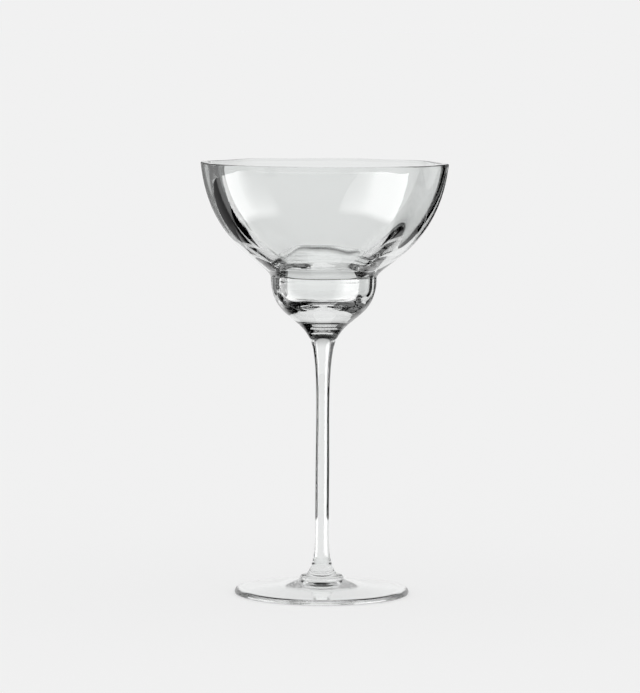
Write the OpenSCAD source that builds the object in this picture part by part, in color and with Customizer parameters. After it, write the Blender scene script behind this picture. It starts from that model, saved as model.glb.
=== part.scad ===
// Margarita glass: a lobed bowl with a small rounded cup below it, on a drawn stem and a round foot.
// Three pieces of clear glass, fused face to face. Millimetres, +Z up, origin under the middle of the foot.

/* [Bowl] */
// Rim diameter across the crests of the lobes
rim_d = 114.8; // [104:0.2:126]
// Height from the neck up to the rim
bowl_h = 52.6; // [46:0.1:60]
// Wall thickness at the rim
rim_wall = 3.3; // [2.4:0.1:4]
// Radius of the rounding on both edges of the rim
rim_round = 0.5; // [0.3:0.1:0.8]

/* [Lobes] */
// Number of lobes round the bowl
lobes = 8; // [6:1:10]
// Depth of the creases between the lobes at the rim
rim_crease = 1.75; // [0.5:0.05:2.5]
// Depth of the creases at the neck
neck_crease = 0.7; // [0.2:0.1:1.2]
// How much lower the rim lies at a crease than at a crest
rim_wave = 0.2; // [0:0.1:0.6]

/* [Cup] */
// Outer diameter of the cup at the neck
cup_d = 49.2; // [46:0.2:54]
// Height from the fused joint up to the neck
cup_h = 29.5; // [27:0.1:32]
// Inner diameter at the ledge, where the bowl's inside meets the cup's
ledge_d = 40.6; // [38:0.2:42]
// How much higher the ledge inside lies than the neck outside
ledge_rise = 7; // [5:0.1:9]
// Inner diameter of the cup where it starts to round to its floor
well_d = 39.6; // [36:0.2:41]
// Height over which the cup's inside rounds to its floor
well_h = 9.5; // [8:0.1:12]
// Solid glass between the fused joint and the floor of the cup
base_t = 15.8; // [14.5:0.1:18]

/* [Stem] */
// Length of the stem between its two fused joints
stem_h = 108.3; // [80:0.1:130]
// Diameter of the stem at its slender stretch
stem_d = 6.5; // [5.5:0.1:9]
// Diameter of the fused joint under the cup
upper_joint_d = 11.8; // [10:0.1:14]
// Diameter of the fused joint on the foot
lower_joint_d = 14; // [12:0.1:16]
// Length over which the stem widens towards the cup
upper_flare_h = 62; // [40:1:70]
// Length over which the stem widens towards the foot
lower_flare_h = 18; // [12:0.5:30]

/* [Foot] */
// Diameter of the foot
foot_d = 80.8; // [72:0.2:90]
// Height of the foot at its button, up to the fused joint
foot_h = 9; // [8.4:0.1:11]
// Thickness of the disc at its edge
edge_t = 2.3; // [1.8:0.1:2.8]
// Radius of the small rounding at the bottom of the edge
edge_round = 0.5; // [0.3:0.1:0.8]
// Width of the larger rounding at the top of the edge
edge_slant = 1.3; // [0.8:0.1:2]
// Height of the disc's top where it starts to rise to the button
disc_h = 3.9; // [3.4:0.1:4.6]
// Diameter at which the disc starts to rise to the button
rise_d = 44; // [36:0.5:52]
// Diameter of the button
button_d = 20.4; // [18:0.2:24]
// Height of the button's rounded shoulder
shoulder_h = 2; // [1.4:0.1:2.6]
// Width of the flat ring that the foot stands on
ring_w = 2.4; // [1.8:0.1:6]
// Depth of the hollow under the foot at its middle
hollow_depth = 3.7; // [2.5:0.1:4.5]

/* [Hidden] */
$fn = 96;

// Steps along the curves and points round each lobe
cup_steps = 10;
bowl_steps = 12;
lip_steps = 3;
inner_steps = 12;
drop_steps = 4;
well_steps = 10;
flare_steps = 12;
round_steps = 6;
points_per_lobe = 10;

// Heights of the two fused joints, the neck, the ledge inside, the cup's floor and the rim
lower_joint_z = foot_h;
upper_joint_z = lower_joint_z + stem_h;
neck_z = upper_joint_z + cup_h;
ledge_z = neck_z + ledge_rise;
floor_z = upper_joint_z + base_t;
rim_z = neck_z + bowl_h;
lip_z = rim_z - rim_round;

// Radii of the outer and the inner side of the glass
rim_r = rim_d / 2;
cup_r = cup_d / 2;
inner_rim_r = rim_r - rim_wall;
ledge_r = ledge_d / 2;
well_r = well_d / 2;
upper_joint_r = upper_joint_d / 2;
lower_joint_r = lower_joint_d / 2;
stem_r = stem_d / 2;
foot_r = foot_d / 2;
rise_r = rise_d / 2;
button_r = button_d / 2;
rest_r = foot_r - edge_round;
hollow_r = rest_r - ring_w;

// How far a curve keeps the direction of its end, as a share of the height or width that it spans
rim_reach_share = 0.73;
inner_rim_reach_share = 0.74;
neck_reach_share = 0.132;
ledge_reach_share = 0.05;
drop_reach_share = 0.45;
side_reach_share = 0.638;
base_reach_share = 0.403;
well_reach_share = 0.6;
floor_reach_share = 0.7;
flare_end_reach_share = 0.15;
flare_stem_reach_share = 0.4;
lower_flare_end_reach_share = 0.16;
lower_flare_stem_reach_share = 0.5;
edge_reach_share = 0.6;
crown_reach_share = 0.5;
rise_reach_share = 0.55;
button_reach_share = 0.5;
shoulder_reach_share = 0.55;

// Run for each unit of rise at the rim, the neck and the two fused joints
rim_lean_share = 0.109;
neck_lean_share = 0.39;
upper_joint_lean_share = 0.42;
lower_joint_lean_share = 0.9;

// Depth of the creases on the inner side, as a share of their depth on the outer side
inner_crease_share = 1.2;

// A crest faces the front
front_angle = 270;

// Points on the cubic curve from a to d with the handles b and c, without a itself
function curve(a, b, c, d, steps) = [
    for (i = [1 : steps])
        let (t = i / steps)
        pow(1 - t, 3) * a + 3 * pow(1 - t, 2) * t * b + 3 * (1 - t) * t * t * c + pow(t, 3) * d
];

// Points on a round of radius r about c between two angles, without the first
function round_off(c, r, from, to, steps) = [
    for (i = [1 : steps])
        let (a = from + (to - from) * i / steps)
        c + r * [cos(a), sin(a)]
];

function without_last(list) = [for (i = [0 : len(list) - 2]) list[i]];

// Outline of the bowl's wall as [radius, height], from the joint over the rim to the floor of the cup
upper_joint = [upper_joint_r, upper_joint_z];
neck = [cup_r, neck_z];
ledge = [ledge_r, ledge_z];
well = [well_r, floor_z + well_h];
outer_lip = [rim_r, lip_z];
inner_lip = [inner_rim_r, lip_z];
floor_middle = [0, floor_z];

cup_side = curve(
    upper_joint,
    upper_joint + base_reach_share * cup_h * [upper_joint_lean_share, 1],
    neck - [0, side_reach_share * cup_h],
    neck,
    cup_steps
);
bowl_side = curve(
    neck,
    neck + neck_reach_share * bowl_h * [neck_lean_share, 1],
    outer_lip - rim_reach_share * bowl_h * [rim_lean_share, 1],
    outer_lip,
    bowl_steps
);
outer_round = round_off(outer_lip - [rim_round, 0], rim_round, 0, 90, lip_steps);
inner_round = round_off(inner_lip + [rim_round, 0], rim_round, 90, 180, lip_steps);
rim_inside = inner_lip + [rim_round, rim_round];
inner_h = rim_z - ledge_z;
bowl_inside = curve(
    inner_lip,
    inner_lip - inner_rim_reach_share * inner_h * [rim_lean_share, 1],
    ledge + [0, ledge_reach_share * inner_h],
    ledge,
    inner_steps
);
drop = ledge_z - well[1];
cup_inside = curve(
    ledge,
    ledge - [0, drop_reach_share * drop],
    well + [0, drop_reach_share * drop],
    well,
    drop_steps
);
cup_floor = curve(
    well,
    well - [0, well_reach_share * well_h],
    floor_middle + [floor_reach_share * well_r, 0],
    floor_middle,
    well_steps
);
outer_outline = concat([upper_joint], cup_side, bowl_side, outer_round);
inner_outline = concat([rim_inside], inner_round, bowl_inside, cup_inside, without_last(cup_floor));

// The outline with the share of the creases that each point takes
wall_outline = concat(
    [for (p = outer_outline) [p[0], p[1], 1]],
    [for (p = inner_outline) [p[0], p[1], inner_crease_share]]
);

// From 0 on a crest of the lobes to 1 in a crease
function crease(angle) = (1 - cos(lobes * (angle - front_angle))) / 2;

// From 0 at the low height to 1 at the high one, with level ends
function smooth_rise(z, low, high) =
    let (t = min(max((z - low) / (high - low), 0), 1))
    t * t * (3 - 2 * t);

// Depth of the creases at a height, as a share of the radius there
function crease_share(z) =
    let (t = min(max((z - neck_z) / bowl_h, 0), 1))
    ((1 - t) * neck_crease / cup_r + t * rim_crease / rim_r) * smooth_rise(z, upper_joint_z, neck_z);

// Point of the lobed wall where an outline point is turned to an angle
function wall_point(p, angle) =
    let (
        r = p[0] * (1 - p[2] * crease_share(p[1]) * crease(angle)),
        z = p[1] - rim_wave * crease(angle) * smooth_rise(p[1], neck_z, rim_z)
    )
    [r * cos(angle), r * sin(angle), z];

module bowl() {
    sides = lobes * points_per_lobe;
    rings = len(wall_outline);
    points = concat(
        [for (p = wall_outline, j = [0 : sides - 1]) wall_point(p, front_angle + 360 * j / sides)],
        [[0, 0, upper_joint_z], [0, 0, floor_z]]
    );
    joint_middle = rings * sides;
    well_middle = joint_middle + 1;
    last_ring = (rings - 1) * sides;
    faces = concat(
        [for (j = [0 : sides - 1]) [joint_middle, j, (j + 1) % sides]],
        [
            for (i = [0 : rings - 2], j = [0 : sides - 1], half = [0, 1])
                let (
                    a = i * sides + j,
                    b = i * sides + (j + 1) % sides
                )
                half == 0 ? [a, a + sides, b + sides] : [a, b + sides, b]
        ],
        [for (j = [0 : sides - 1]) [well_middle, last_ring + (j + 1) % sides, last_ring + j]]
    );
    color("azure", 0.4) polyhedron(points, faces, convexity = 6);
}

module stem() {
    lower_joint = [lower_joint_r, lower_joint_z];
    low_waist = [stem_r, lower_joint_z + lower_flare_h];
    high_waist = [stem_r, upper_joint_z - upper_flare_h];
    lower_flare = curve(
        lower_joint,
        lower_joint + lower_flare_end_reach_share * lower_flare_h * [-lower_joint_lean_share, 1],
        low_waist - [0, lower_flare_stem_reach_share * lower_flare_h],
        low_waist,
        flare_steps
    );
    upper_flare = curve(
        high_waist,
        high_waist + [0, flare_stem_reach_share * upper_flare_h],
        upper_joint - flare_end_reach_share * upper_flare_h * [upper_joint_lean_share, 1],
        upper_joint,
        flare_steps
    );
    color("azure", 0.4) rotate_extrude() polygon(concat(
        [[0, lower_joint_z], lower_joint],
        lower_flare,
        [high_waist],
        upper_flare,
        [[0, upper_joint_z]]
    ));
}

module foot() {
    lower_joint = [lower_joint_r, lower_joint_z];
    button_side = [button_r, lower_joint_z - shoulder_h];
    rise_start = [rise_r, disc_h];
    crown = [foot_r - edge_slant, edge_t];
    widest = [foot_r, edge_round];
    slope_share = (disc_h - edge_t) / (crown[0] - rise_r);
    low_edge = round_off([rest_r, edge_round], edge_round, -90, 0, round_steps);
    high_edge = curve(
        widest,
        widest + [0, edge_reach_share * (edge_t - edge_round)],
        crown + crown_reach_share * edge_slant * [1, -slope_share],
        crown,
        round_steps
    );
    rise = curve(
        rise_start,
        rise_start + rise_reach_share * (rise_r - button_r) * [-1, slope_share],
        button_side - [0, button_reach_share * (button_side[1] - disc_h)],
        button_side,
        flare_steps
    );
    shoulder = curve(
        button_side,
        button_side + [0, shoulder_reach_share * shoulder_h],
        lower_joint + [shoulder_reach_share * (button_r - lower_joint_r), 0],
        lower_joint,
        round_steps
    );
    color("azure", 0.4) rotate_extrude() polygon(concat(
        [[0, hollow_depth], [hollow_r, 0], [rest_r, 0]],
        low_edge,
        high_edge,
        [rise_start],
        rise,
        shoulder,
        [[0, lower_joint_z]]
    ));
}

bowl();
stem();
foot();
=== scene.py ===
import math

import bmesh
import bpy
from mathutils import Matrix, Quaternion, Vector


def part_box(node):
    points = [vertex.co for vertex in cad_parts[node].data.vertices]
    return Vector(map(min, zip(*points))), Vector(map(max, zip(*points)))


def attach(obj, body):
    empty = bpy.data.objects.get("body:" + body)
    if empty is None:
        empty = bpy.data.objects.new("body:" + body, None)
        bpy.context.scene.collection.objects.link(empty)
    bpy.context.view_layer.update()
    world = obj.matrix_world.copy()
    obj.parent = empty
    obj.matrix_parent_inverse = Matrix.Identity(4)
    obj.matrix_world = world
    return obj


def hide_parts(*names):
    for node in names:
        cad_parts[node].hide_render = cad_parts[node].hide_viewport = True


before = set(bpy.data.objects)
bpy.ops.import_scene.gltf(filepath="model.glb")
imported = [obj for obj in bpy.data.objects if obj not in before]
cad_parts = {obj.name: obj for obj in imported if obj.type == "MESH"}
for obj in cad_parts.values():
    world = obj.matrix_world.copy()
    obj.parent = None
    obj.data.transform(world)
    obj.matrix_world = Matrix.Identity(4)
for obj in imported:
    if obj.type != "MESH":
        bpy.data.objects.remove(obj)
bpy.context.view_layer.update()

# The glass, in metres. What the CAD nodes' boxes give is read from them.
bowl_low, bowl_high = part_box("bowl")
stem_low, stem_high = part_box("stem")
foot_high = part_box("foot")[1]

LOBES = 8
CREST_ANGLE = math.radians(270)

RIM_R = -bowl_low.y
RIM_Z = bowl_high.z
RIM_WALL = 0.0033
RIM_ROUND = 0.0005
RIM_CREASE = 0.00175
RIM_WAVE = 0.0002
RIM_LEAN = 0.109

UPPER_JOINT_Z = bowl_low.z
UPPER_JOINT_R = 0.0059
UPPER_JOINT_LEAN = 0.42

CUP_R = 0.0246
CUP_H = 0.0295
BASE_T = 0.0158
LEDGE_R = 0.0203
LEDGE_RISE = 0.007
WELL_R = 0.0198
WELL_H = 0.0095
FLOOR_Z = UPPER_JOINT_Z + BASE_T
NECK_Z = UPPER_JOINT_Z + CUP_H
NECK_CREASE = 0.0007
NECK_LEAN = 0.39
BOWL_H = RIM_Z - NECK_Z

STEM_R = 0.00325
LOWER_JOINT_Z = stem_low.z
LOWER_JOINT_R = stem_high.x
LOWER_JOINT_LEAN = 0.9
UPPER_FLARE_H = 0.062
LOWER_FLARE_H = 0.018

FOOT_R = foot_high.x
EDGE_T = 0.0023
EDGE_LOW = 0.0005
EDGE_SLANT = 0.0013
DISC_T = 0.0039
BUTTON_R = 0.0102
BUTTON_FOOT_R = 0.022
SHOULDER_H = 0.002
RECESS_MARGIN = 0.0029
RECESS_R = FOOT_R - RECESS_MARGIN
RECESS_DEPTH = 0.0037

# Depth of the creases inside the bowl, as a share of their depth outside
INNER_CREASE = 1.2

# Shares of a stretch over which its curve keeps the direction of its end
RIM_REACH = 0.73
INNER_RIM_REACH = 0.74
NECK_REACH = 0.132
LEDGE_REACH = 0.05
SIDE_REACH = 0.638
BASE_REACH = 0.403
DROP_REACH = 0.45
WELL_REACH = 0.6
FLOOR_REACH = 0.7
LOWER_FLARE_REACH = 0.16
LOWER_WAIST_REACH = 0.5
UPPER_WAIST_REACH = 0.4
UPPER_FLARE_REACH = 0.15
ROOT_REACH = 0.55
BUTTON_REACH = 0.5
SHOULDER_REACH = 0.55
EDGE_REACH = 0.6
CROWN_REACH = 0.5

# Points round the lobed bowl and round the plain pieces
BOWL_SIDES = 40 * LOBES
ROUND_SIDES = 192

# Upwards in an outline, whose points are radius and height
UP = Vector((0, 1))

# Heights that differ by less are the same.
SAME_HEIGHT = 1e-7

# The glass's colour, its ripples per metre and their height, and the roughness of its faint haze
TINT = (0.977, 0.989, 0.984, 1)
REFRACTION = 1.5
BLOWN_RIPPLES = 18.0
DRAWN_RIPPLES = 30.0
PRESSED_RIPPLES = 25.0
RIPPLE_H = 0.001
RIPPLE_STRENGTH = 0.004
RIPPLE_DETAIL = 1.0
RIPPLE_ROUGHNESS = 0.4
HAZE_SPOTS = 60.0
HAZE_DETAIL = 4.0
HAZE_FROM = 0.45
HAZE_FULL = 0.8
HAZE = 0.006


def curve(a, b, c, d, steps):
    """Points on the cubic curve from a to d with the handles b and c, without a itself."""
    a, b, c, d = (Vector(p) for p in (a, b, c, d))
    points = []
    for i in range(1, steps + 1):
        t = i / steps
        s = 1 - t
        points.append(s ** 3 * a + 3 * s * s * t * b + 3 * s * t * t * c + t ** 3 * d)
    return points


def round_off(centre, radius, first, last, steps):
    """Points on a round between two angles in degrees, without the first."""
    points = []
    for i in range(1, steps + 1):
        angle = math.radians(first + (last - first) * i / steps)
        points.append(Vector(centre) + radius * Vector((math.cos(angle), math.sin(angle))))
    return points


def straight(a, b, steps):
    """Points on the line from a to b, without a itself."""
    return [a.lerp(b, i / steps) for i in range(1, steps + 1)]


def smooth_rise(z, low, high):
    """From 0 at the height low to 1 at the height high, level at both ends."""
    t = min(max((z - low) / (high - low), 0), 1)
    return t * t * (3 - 2 * t)


def crease(angle):
    """From 0 on a crest of the lobes to 1 in a crease."""
    return (1 - math.cos(LOBES * (angle - CREST_ANGLE))) / 2


def crease_share(z):
    """Depth of the creases at a height, as a share of the radius there."""
    t = min(max((z - NECK_Z) / BOWL_H, 0), 1)
    share = (1 - t) * NECK_CREASE / CUP_R + t * RIM_CREASE / RIM_R
    return share * smooth_rise(z, UPPER_JOINT_Z, NECK_Z)


def lobed(p, angle):
    """The outline point p = (radius, height, share of the crease depth), turned to an angle with its lobe."""
    depth = crease(angle)
    r = p[0] * (1 - p[2] * crease_share(p[1]) * depth)
    z = p[1] - RIM_WAVE * depth * smooth_rise(p[1], NECK_Z, RIM_Z)
    return r * math.cos(angle), r * math.sin(angle), z


def plain(p, angle):
    """The outline point p = (radius, height), turned to an angle."""
    return p[0] * math.cos(angle), p[0] * math.sin(angle), p[1]


def turned(name, outline, sides, place, joints, materials):
    """A closed piece turned from an outline that starts and ends on the axis. The flat faces at the heights
    in joints are fused to the next piece: they take the second material, with a sharp edge round them."""
    bm = bmesh.new()
    first = bm.verts.new((0, 0, outline[0][1]))
    last = bm.verts.new((0, 0, outline[-1][1]))
    angles = [CREST_ANGLE + 2 * math.pi * j / sides for j in range(sides)]
    rings = [[bm.verts.new(place(p, a)) for a in angles] for p in outline[1:-1]]
    for j in range(sides):
        k = (j + 1) % sides
        bm.faces.new((first, rings[0][k], rings[0][j]))
        for low, high in zip(rings, rings[1:]):
            bm.faces.new((low[j], low[k], high[k], high[j]))
        bm.faces.new((last, rings[-1][j], rings[-1][k]))
    bm.normal_update()
    for face in bm.faces:
        face.smooth = True
        z = [v.co.z for v in face.verts]
        flat = max(z) - min(z) < SAME_HEIGHT
        if flat and any(abs(z[0] - joint) < SAME_HEIGHT for joint in joints):
            face.material_index = 1
    for edge in bm.edges:
        kinds = {face.material_index for face in edge.link_faces}
        edge.smooth = len(kinds) == 1
    mesh = bpy.data.meshes.new(name)
    bm.to_mesh(mesh)
    bm.free()
    piece = bpy.data.objects.new(name, mesh)
    bpy.context.collection.objects.link(piece)
    for material in materials:
        mesh.materials.append(material)
    return piece


def node(tree, kind, **inputs):
    """A new node with values on the inputs that are named, with _ for a space."""
    made = tree.nodes.new(kind)
    for key, value in inputs.items():
        made.inputs[key.replace("_", " ")].default_value = value
    return made


def grey(level):
    """An opaque grey."""
    return level, level, level, 1


def ramp(tree, stops):
    """A ramp of greys from pairs of place and grey."""
    made = tree.nodes.new("ShaderNodeValToRGB")
    elements = made.color_ramp.elements
    while len(elements) < len(stops):
        elements.new(0.5)
    for element, (position, level) in zip(elements, stops):
        element.position = position
        element.color = grey(level)
    return made


def empty_material(name):
    """A material with no nodes yet, and its tree."""
    material = bpy.data.materials.new(name)
    material.use_nodes = True
    material.node_tree.nodes.clear()
    return material, material.node_tree


def glass(name, ripples):
    """Clear polished glass with the slight unevenness that it keeps from the fire."""
    material = bpy.data.materials.new(name)
    material.use_nodes = True
    tree = material.node_tree
    shader = tree.nodes["Principled BSDF"]
    shader.inputs["Base Color"].default_value = TINT
    shader.inputs["Transmission Weight"].default_value = 1
    shader.inputs["IOR"].default_value = REFRACTION
    place = tree.nodes.new("ShaderNodeTexCoord")
    waves = node(
        tree,
        "ShaderNodeTexNoise",
        Scale=ripples,
        Detail=RIPPLE_DETAIL,
        Roughness=RIPPLE_ROUGHNESS,
    )
    bump = node(tree, "ShaderNodeBump", Strength=RIPPLE_STRENGTH, Distance=RIPPLE_H)
    spots = node(tree, "ShaderNodeTexNoise", Scale=HAZE_SPOTS, Detail=HAZE_DETAIL)
    haze = node(tree, "ShaderNodeMapRange", From_Min=HAZE_FROM, From_Max=HAZE_FULL, To_Min=0.0, To_Max=HAZE)
    link = tree.links.new
    link(place.outputs["Object"], waves.inputs["Vector"])
    link(waves.outputs["Fac"], bump.inputs["Height"])
    link(bump.outputs["Normal"], shader.inputs["Normal"])
    link(place.outputs["Object"], spots.inputs["Vector"])
    link(spots.outputs["Fac"], haze.inputs["Value"])
    link(haze.outputs["Result"], shader.inputs["Roughness"])
    return material


def fused_joint():
    """Inside a fused joint there is no surface to see."""
    material, tree = empty_material("fused_joint")
    clear = tree.nodes.new("ShaderNodeBsdfTransparent")
    out = tree.nodes.new("ShaderNodeOutputMaterial")
    tree.links.new(clear.outputs["BSDF"], out.inputs["Surface"])
    return material


def bowl_outline():
    """Up the outside from the stem, over the rim and down the inside to the floor of the cup."""
    joint = Vector((UPPER_JOINT_R, UPPER_JOINT_Z))
    neck = Vector((CUP_R, NECK_Z))
    lip_z = RIM_Z - RIM_ROUND
    outer_lip = Vector((RIM_R, lip_z))
    inner_lip = Vector((RIM_R - RIM_WALL, lip_z))
    ledge = Vector((LEDGE_R, NECK_Z + LEDGE_RISE))
    well = Vector((WELL_R, FLOOR_Z + WELL_H))
    floor = Vector((0, FLOOR_Z))
    rim_lean = Vector((RIM_LEAN, 1))
    cup = curve(
        joint,
        joint + BASE_REACH * CUP_H * Vector((UPPER_JOINT_LEAN, 1)),
        neck - SIDE_REACH * CUP_H * UP,
        neck,
        steps=48,
    )
    outside = curve(
        neck,
        neck + NECK_REACH * BOWL_H * Vector((NECK_LEAN, 1)),
        outer_lip - RIM_REACH * BOWL_H * rim_lean,
        outer_lip,
        steps=64,
    )
    lip = round_off((RIM_R - RIM_ROUND, lip_z), RIM_ROUND, 0, 90, steps=8)
    lip.append(Vector((inner_lip.x + RIM_ROUND, RIM_Z)))
    lip += round_off((inner_lip.x + RIM_ROUND, lip_z), RIM_ROUND, 90, 180, steps=8)
    inner_h = RIM_Z - ledge.y
    inside = curve(
        inner_lip,
        inner_lip - INNER_RIM_REACH * inner_h * rim_lean,
        ledge + LEDGE_REACH * inner_h * UP,
        ledge,
        steps=80,
    )
    drop = DROP_REACH * (ledge.y - well.y) * UP
    bottom = curve(ledge, ledge - drop, well + drop, well, steps=32)
    bottom += curve(
        well,
        well - WELL_REACH * WELL_H * UP,
        floor + Vector((FLOOR_REACH * WELL_R, 0)),
        floor,
        steps=40,
    )
    outer = [(p.x, p.y, 1.0) for p in [Vector((0, UPPER_JOINT_Z)), joint] + cup + outside]
    over = [(p.x, p.y, 1 + (INNER_CREASE - 1) * (RIM_R - p.x) / RIM_WALL) for p in lip]
    inner = [(p.x, p.y, INNER_CREASE) for p in inside + bottom]
    return outer + over + inner


def stem_outline():
    """Up the side of the stem, from the foot to the bowl."""
    lower = Vector((LOWER_JOINT_R, LOWER_JOINT_Z))
    upper = Vector((UPPER_JOINT_R, UPPER_JOINT_Z))
    low_waist = Vector((STEM_R, LOWER_JOINT_Z + LOWER_FLARE_H))
    high_waist = Vector((STEM_R, UPPER_JOINT_Z - UPPER_FLARE_H))
    low = curve(
        lower,
        lower + LOWER_FLARE_REACH * LOWER_FLARE_H * Vector((-LOWER_JOINT_LEAN, 1)),
        low_waist - LOWER_WAIST_REACH * LOWER_FLARE_H * UP,
        low_waist,
        steps=40,
    )
    middle = straight(low_waist, high_waist, steps=6)
    high = curve(
        high_waist,
        high_waist + UPPER_WAIST_REACH * UPPER_FLARE_H * UP,
        upper - UPPER_FLARE_REACH * UPPER_FLARE_H * Vector((UPPER_JOINT_LEAN, 1)),
        upper,
        steps=60,
    )
    return [Vector((0, LOWER_JOINT_Z)), lower] + low + middle + high + [Vector((0, UPPER_JOINT_Z))]


def foot_outline():
    """Out along the hollow below, round the edge, and back over the disc and the button to the stem."""
    joint = Vector((LOWER_JOINT_R, LOWER_JOINT_Z))
    side = Vector((BUTTON_R, LOWER_JOINT_Z - SHOULDER_H))
    root = Vector((BUTTON_FOOT_R, DISC_T))
    crown = Vector((FOOT_R - EDGE_SLANT, EDGE_T))
    rest = Vector((FOOT_R - EDGE_LOW, 0))
    slope = (root.y - crown.y) / (crown.x - root.x)
    hollow = Vector((0, RECESS_DEPTH))
    recess = [hollow] + straight(hollow, Vector((RECESS_R, 0)), steps=24)
    edge = round_off((FOOT_R - EDGE_LOW, EDGE_LOW), EDGE_LOW, -90, 0, steps=8)
    edge += curve(
        edge[-1],
        edge[-1] + EDGE_REACH * (EDGE_T - EDGE_LOW) * UP,
        crown + CROWN_REACH * EDGE_SLANT * Vector((1, -slope)),
        crown,
        steps=16,
    )
    top = straight(edge[-1], root, steps=24)
    rise = curve(
        root,
        root + ROOT_REACH * (root.x - side.x) * Vector((-1, slope)),
        side - BUTTON_REACH * (side.y - root.y) * UP,
        side,
        steps=32,
    )
    shoulder = curve(
        side,
        side + SHOULDER_REACH * (joint.y - side.y) * UP,
        joint + Vector((SHOULDER_REACH * (side.x - joint.x), 0)),
        joint,
        steps=24,
    )
    return recess + [rest] + edge + top + rise + shoulder + [Vector((0, LOWER_JOINT_Z))]


joint_skin = fused_joint()
bowl = turned(
    "bowl_glass",
    bowl_outline(),
    BOWL_SIDES,
    lobed,
    [UPPER_JOINT_Z],
    [glass("blown_glass", BLOWN_RIPPLES), joint_skin],
)
stem = turned(
    "stem_glass",
    stem_outline(),
    ROUND_SIDES,
    plain,
    [UPPER_JOINT_Z, LOWER_JOINT_Z],
    [glass("drawn_glass", DRAWN_RIPPLES), joint_skin],
)
foot = turned(
    "foot_glass",
    foot_outline(),
    ROUND_SIDES,
    plain,
    [LOWER_JOINT_Z],
    [glass("pressed_glass", PRESSED_RIPPLES), joint_skin],
)
for piece, cad_node, slot in (
    (bowl, "bowl", "bowl_glass"),
    (stem, "stem", "stem_glass"),
    (foot, "foot", "foot_glass"),
):
    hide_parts(cad_node)
    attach(piece, "root")

# The stage. Angles are in degrees from the camera's side of the glass, positive to the camera's right.
CAMERA_TURN = 8.5
CAMERA_DISTANCE = 1.776
CAMERA_Z = 0.2668
AIM_Z = 0.1145
AIM_ASIDE = -0.0015
CAMERA_ROLL = 0.39
FOCAL_MM = 200.7
SENSOR_MM = 36

# The background's grey and the even light of the studio. The floor's grey is partly lit, so that it keeps the
# shadow, and partly its own glow. Rays that don't see the stage meet the pale floor.
BACKGROUND = 0.88
STUDIO_LIGHT = 0.9
LIT_FLOOR = 0.39
FLOOR_GLOW = 0.6 * BACKGROUND
PALE_FLOOR = 0.85
FLOOR_R = 60
FLOOR_SIDES = 64
TABLE_R = 3
TABLE_SIDES = 96
FLOOR_DROP = 0.0002

# Greys that the glass shows, as pairs of place and grey: over the height of a direction, and from the
# camera's side at 0 to the back at 1, through the glass and in its reflections
CEILING = [(0.17, 1.0), (0.36, 0.72), (0.64, 0.6), (0.76, 0.01)]
THROUGH = [(0.0, 0.35), (0.3, 0.35), (0.45, 0.03), (0.83, 0.01), (0.89, BACKGROUND)]
REFLECTED = [(0.83, 0.01), (0.89, BACKGROUND)]

# Black flags and one grey card, behind the glass on both sides. Those below the split are for the stem.
FLAG_DISTANCE = 0.2
FLAG_FIRST = 110
FLAG_LOW = 0.0095
FLAG_SPLIT = 0.085
FLAG_HIGH = 0.3
STEM_FLAG_LAST = 153
LEFT_CARD_LAST = 156
RIGHT_FLAG_LAST = 150
BLACK = 0
CARD_GREY = 0.18

# Softboxes at the front and the sides, and how their light fades in from the first angle and from below
SOFTBOX_DISTANCE = 0.6
SOFTBOX_TOP = 0.07
SOFTBOX_LIGHT = 6
LEFT_SOFTBOX_FIRST = -62
LEFT_SOFTBOX_LAST = -110
LEFT_SOFTBOX_LOW = -0.34
RIGHT_SOFTBOX_FIRST = 28
RIGHT_SOFTBOX_LAST = 91
RIGHT_SOFTBOX_LOW = -0.4
EVEN = [(0.0, 1.0), (1.0, 1.0)]
LEFT_ACROSS = [(0.0, 0.0), (0.3, 1.0)]
RIGHT_ACROSS = [(0.0, 0.2), (0.15, 1.0)]
UPWARDS = [(0.0, 0.0), (0.25, 1.0)]

# Light passes many walls of glass before it reaches the camera.
GLASS_BOUNCES = 32
MIRROR_BOUNCES = 16


def around(angle, distance, z=0.0):
    """The place at an angle and a distance round the glass."""
    a = math.radians(angle + CAMERA_TURN)
    return Vector((distance * math.sin(a), -distance * math.cos(a), z))


def seen_rays(tree):
    """1 for the rays that see the stage: straight, in a reflection or through the glass."""
    path = tree.nodes.new("ShaderNodeLightPath")
    seen = path.outputs["Is Camera Ray"]
    for kind in ("Is Glossy Ray", "Is Transmission Ray"):
        either = tree.nodes.new("ShaderNodeMath")
        either.operation = "MAXIMUM"
        tree.links.new(seen, either.inputs[0])
        tree.links.new(path.outputs[kind], either.inputs[1])
        seen = either.outputs[0]
    return seen


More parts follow.
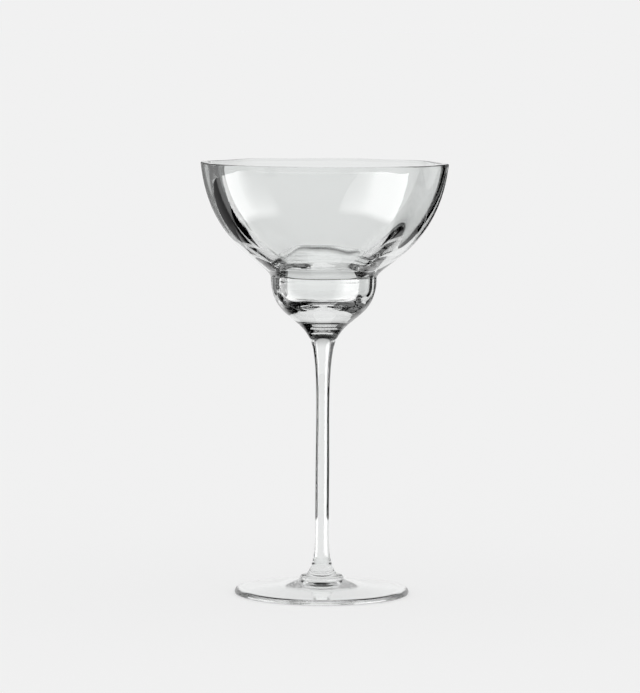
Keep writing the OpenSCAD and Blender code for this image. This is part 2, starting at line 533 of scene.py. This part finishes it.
def make_world():
    """Even light for the floor, and an even backdrop for the camera. The glass shows a studio that is pale
    behind and dark at the sides and overhead, with a front that is dim through it and dark in reflections."""
    world = bpy.data.worlds.new("studio")
    bpy.context.scene.world = world
    world.use_nodes = True
    tree = world.node_tree
    tree.nodes.clear()
    link = tree.links.new
    out = tree.nodes.new("ShaderNodeOutputWorld")
    mix = tree.nodes.new("ShaderNodeMixShader")
    light = node(tree, "ShaderNodeBackground", Color=grey(1), Strength=STUDIO_LIGHT)
    shown = node(tree, "ShaderNodeBackground", Strength=1.0)
    place = tree.nodes.new("ShaderNodeTexCoord")
    path = tree.nodes.new("ShaderNodeLightPath")
    split = tree.nodes.new("ShaderNodeSeparateXYZ")
    height = ramp(tree, CEILING)
    towards_back = tree.nodes.new("ShaderNodeVectorMath")
    towards_back.operation = "DOT_PRODUCT"
    towards_back.inputs[1].default_value = around(180, 1)
    share = node(tree, "ShaderNodeMapRange", From_Min=-1)
    through = ramp(tree, THROUGH)
    reflected = ramp(tree, REFLECTED)
    studio = tree.nodes.new("ShaderNodeMixRGB")
    under_ceiling = tree.nodes.new("ShaderNodeVectorMath")
    under_ceiling.operation = "MULTIPLY"
    seen = node(tree, "ShaderNodeMixRGB", Color2=grey(BACKGROUND))
    link(place.outputs["Generated"], split.inputs["Vector"])
    link(split.outputs["Z"], height.inputs["Fac"])
    link(place.outputs["Generated"], towards_back.inputs[0])
    link(towards_back.outputs["Value"], share.inputs["Value"])
    link(share.outputs["Result"], through.inputs["Fac"])
    link(share.outputs["Result"], reflected.inputs["Fac"])
    link(path.outputs["Is Transmission Ray"], studio.inputs["Fac"])
    link(reflected.outputs["Color"], studio.inputs["Color1"])
    link(through.outputs["Color"], studio.inputs["Color2"])
    link(height.outputs["Color"], under_ceiling.inputs[0])
    link(studio.outputs["Color"], under_ceiling.inputs[1])
    link(path.outputs["Is Camera Ray"], seen.inputs["Fac"])
    link(under_ceiling.outputs["Vector"], seen.inputs["Color1"])
    link(seen.outputs["Color"], shown.inputs["Color"])
    link(seen_rays(tree), mix.inputs["Fac"])
    link(light.outputs["Background"], mix.inputs[1])
    link(shown.outputs["Background"], mix.inputs[2])
    link(mix.outputs["Shader"], out.inputs["Surface"])


def panel_light(name, strength, across, upwards):
    """Light that varies over a panel's width and height. Through the glass it isn't above the background."""
    material, tree = empty_material(name)
    place = tree.nodes.new("ShaderNodeTexCoord")
    split = tree.nodes.new("ShaderNodeSeparateXYZ")
    both = tree.nodes.new("ShaderNodeVectorMath")
    both.operation = "MULTIPLY"
    path = tree.nodes.new("ShaderNodeLightPath")
    power = node(tree, "ShaderNodeMapRange", To_Min=strength, To_Max=min(strength, BACKGROUND))
    glow = tree.nodes.new("ShaderNodeEmission")
    out = tree.nodes.new("ShaderNodeOutputMaterial")
    link = tree.links.new
    link(place.outputs["UV"], split.inputs["Vector"])
    for i, (axis, stops) in enumerate((("X", across), ("Y", upwards))):
        shade = ramp(tree, stops)
        link(split.outputs[axis], shade.inputs["Fac"])
        link(shade.outputs["Color"], both.inputs[i])
    link(path.outputs["Is Transmission Ray"], power.inputs["Value"])
    link(power.outputs["Result"], glow.inputs["Strength"])
    link(both.outputs["Vector"], glow.inputs["Color"])
    link(glow.outputs["Emission"], out.inputs["Surface"])
    return material


def panel(name, first, last, distance, low, high, strength, across=EVEN, upwards=EVEN):
    """An upright flag or softbox between two angles and heights. The glass shows it, the camera doesn't."""
    corners = [
        around(first, distance, low),
        around(last, distance, low),
        around(last, distance, high),
        around(first, distance, high),
    ]
    mesh = bpy.data.meshes.new(name)
    mesh.from_pydata(corners, [], [(0, 1, 2, 3)])
    mesh.uv_layers.new(name="face")
    mesh.materials.append(panel_light(name, strength, across, upwards))
    card = bpy.data.objects.new(name, mesh)
    bpy.context.collection.objects.link(card)
    card.visible_camera = False
    card.visible_diffuse = False
    card.visible_shadow = False
    return card


def floor_material():
    """A pale floor that keeps the shadow of the glass."""
    material, tree = empty_material("pale_floor")
    out = tree.nodes.new("ShaderNodeOutputMaterial")
    lit = node(tree, "ShaderNodeBsdfDiffuse", Color=grey(LIT_FLOOR))
    glow = node(tree, "ShaderNodeEmission", Color=grey(1), Strength=FLOOR_GLOW)
    both = tree.nodes.new("ShaderNodeAddShader")
    pale = node(tree, "ShaderNodeBsdfDiffuse", Color=grey(PALE_FLOOR))
    mix = tree.nodes.new("ShaderNodeMixShader")
    link = tree.links.new
    link(lit.outputs["BSDF"], both.inputs[0])
    link(glow.outputs["Emission"], both.inputs[1])
    link(seen_rays(tree), mix.inputs["Fac"])
    link(pale.outputs["BSDF"], mix.inputs[1])
    link(both.outputs["Shader"], mix.inputs[2])
    link(mix.outputs["Shader"], out.inputs["Surface"])
    return material


def make_floor():
    """The pale floor that the camera sees, and the table top that shows through the glass in its place.
    Neither is mirrored in the glass."""
    material = floor_material()
    for name, radius, sides in (("floor", FLOOR_R, FLOOR_SIDES), ("table_top", TABLE_R, TABLE_SIDES)):
        bm = bmesh.new()
        bmesh.ops.create_circle(bm, cap_ends=True, radius=radius, segments=sides)
        mesh = bpy.data.meshes.new(name)
        bm.to_mesh(mesh)
        bm.free()
        floor = bpy.data.objects.new(name, mesh)
        floor.location.z = -FLOOR_DROP
        bpy.context.collection.objects.link(floor)
        mesh.materials.append(material)
        shown = name == "floor"
        floor.visible_camera = shown
        floor.visible_diffuse = shown
        floor.visible_shadow = shown
        floor.visible_glossy = False
        floor.visible_transmission = not shown


def make_camera():
    """The photograph's view, with its slight tilt."""
    data = bpy.data.cameras.new("camera")
    data.sensor_width = SENSOR_MM
    data.lens = FOCAL_MM
    camera = bpy.data.objects.new("camera", data)
    bpy.context.collection.objects.link(camera)
    camera.location = around(0, CAMERA_DISTANCE, CAMERA_Z)
    aim = around(90, AIM_ASIDE, AIM_Z) - camera.location
    roll = Quaternion((0, 0, 1), math.radians(CAMERA_ROLL))
    camera.rotation_mode = "QUATERNION"
    camera.rotation_quaternion = aim.to_track_quat("-Z", "Y") @ roll
    bpy.context.scene.camera = camera


def make_panels():
    """What gives the glass its dark edges and pale panels, all of it outside the picture."""
    # The foot would mirror the stem's flags, so they show through the glass only.
    for name, side in (("left_stem_flag", -1), ("right_stem_flag", 1)):
        first = side * FLAG_FIRST
        last = side * STEM_FLAG_LAST
        flag = panel(name, first, last, FLAG_DISTANCE, FLAG_LOW, FLAG_SPLIT, BLACK)
        flag.visible_glossy = False
    panel("left_card", -FLAG_FIRST, -LEFT_CARD_LAST, FLAG_DISTANCE, FLAG_SPLIT, FLAG_HIGH, CARD_GREY)
    panel("right_flag", FLAG_FIRST, RIGHT_FLAG_LAST, FLAG_DISTANCE, FLAG_SPLIT, FLAG_HIGH, BLACK)
    panel(
        "left_softbox",
        LEFT_SOFTBOX_FIRST,
        LEFT_SOFTBOX_LAST,
        SOFTBOX_DISTANCE,
        LEFT_SOFTBOX_LOW,
        SOFTBOX_TOP,
        SOFTBOX_LIGHT,
        LEFT_ACROSS,
        UPWARDS,
    )
    panel(
        "right_softbox",
        RIGHT_SOFTBOX_FIRST,
        RIGHT_SOFTBOX_LAST,
        SOFTBOX_DISTANCE,
        RIGHT_SOFTBOX_LOW,
        SOFTBOX_TOP,
        SOFTBOX_LIGHT,
        RIGHT_ACROSS,
        UPWARDS,
    )


make_world()
make_floor()
make_camera()
make_panels()

scene = bpy.context.scene
scene.view_settings.view_transform = "Standard"
scene.cycles.max_bounces = GLASS_BOUNCES
scene.cycles.transmission_bounces = GLASS_BOUNCES
scene.cycles.glossy_bounces = MIRROR_BOUNCES
scene.cycles.transparent_max_bounces = MIRROR_BOUNCES
